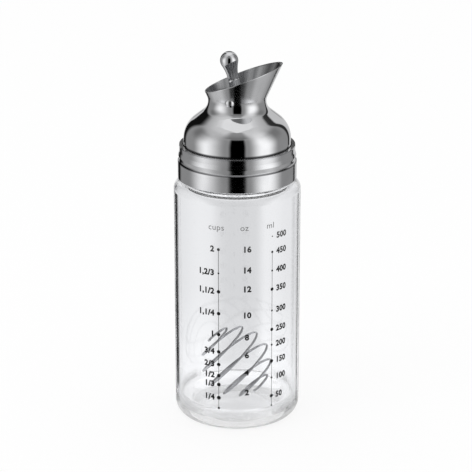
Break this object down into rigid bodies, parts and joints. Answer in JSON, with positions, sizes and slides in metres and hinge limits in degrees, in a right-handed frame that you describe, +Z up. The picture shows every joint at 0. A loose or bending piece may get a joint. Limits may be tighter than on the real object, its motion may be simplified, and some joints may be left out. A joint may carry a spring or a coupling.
{
  "type": "salad dressing shaker bottle",
  "caption": "Straight glass shaker bottle with a loose whisk ball, a turning steel collar and a domed steel spout with a lever valve.",
  "frame": {"origin": "middle of the jar's foot, on the surface it stands on", "axes": "+Z up along the jar's axis, the spout pours towards +X, the lever's cross pin lies along Y"},
  "size_m": [0.078, 0.078, 0.2327],
  "materials": {
    "clear_glass": "clear, polished",
    "coil_steel": "bright drawn wire",
    "collar_steel": "mirror polished, fine turning lines",
    "spout_steel": "mirror polished",
    "pin_steel": "polished",
    "knob_steel": "mirror polished",
    "ring_plastic": "moulded, matte",
    "silicone": "translucent white, matte"
  },
  "bodies": {
    "jar": {"glass_jar": "clear_glass"},
    "coil": {"mixing_coil": "coil_steel"},
    "spout": {"spout_dome": "spout_steel", "rim_gasket": "silicone", "pivot_pin": "pin_steel"},
    "collar": {"collar_shell": "collar_steel", "thread_ring": "ring_plastic"},
    "lever": {"lever_hub": "pin_steel", "lever_stem": "pin_steel", "lever_knob": "knob_steel", "valve_plate": "pin_steel", "valve_seal": "silicone"}
  },
  "joints": [
    {"name": "lid_rise", "type": "slide", "parent": "jar", "child": "spout", "axis": [0, 0, 1], "range_m": [0, 0.018]},
    {"name": "collar_turn", "type": "hinge", "parent": "spout", "child": "collar", "pos_m": [0, 0, 0.16], "axis": [0, 0, 1], "range_deg": [0, 540]},
    {"name": "lever_tilt", "type": "hinge", "parent": "spout", "child": "lever", "pos_m": [0, 0, 0.2055], "axis": [0, -1, 0], "range_deg": [0, 48]},
    {"name": "coil_slide", "type": "slide", "parent": "jar", "child": "coil", "axis": [0, 0, 1], "range_m": [0, 0.1]}
  ],
  "couplings": [
    {"joint": "lid_rise", "follows": "collar_turn", "m_per_rad": 0.0019098}
  ]
}
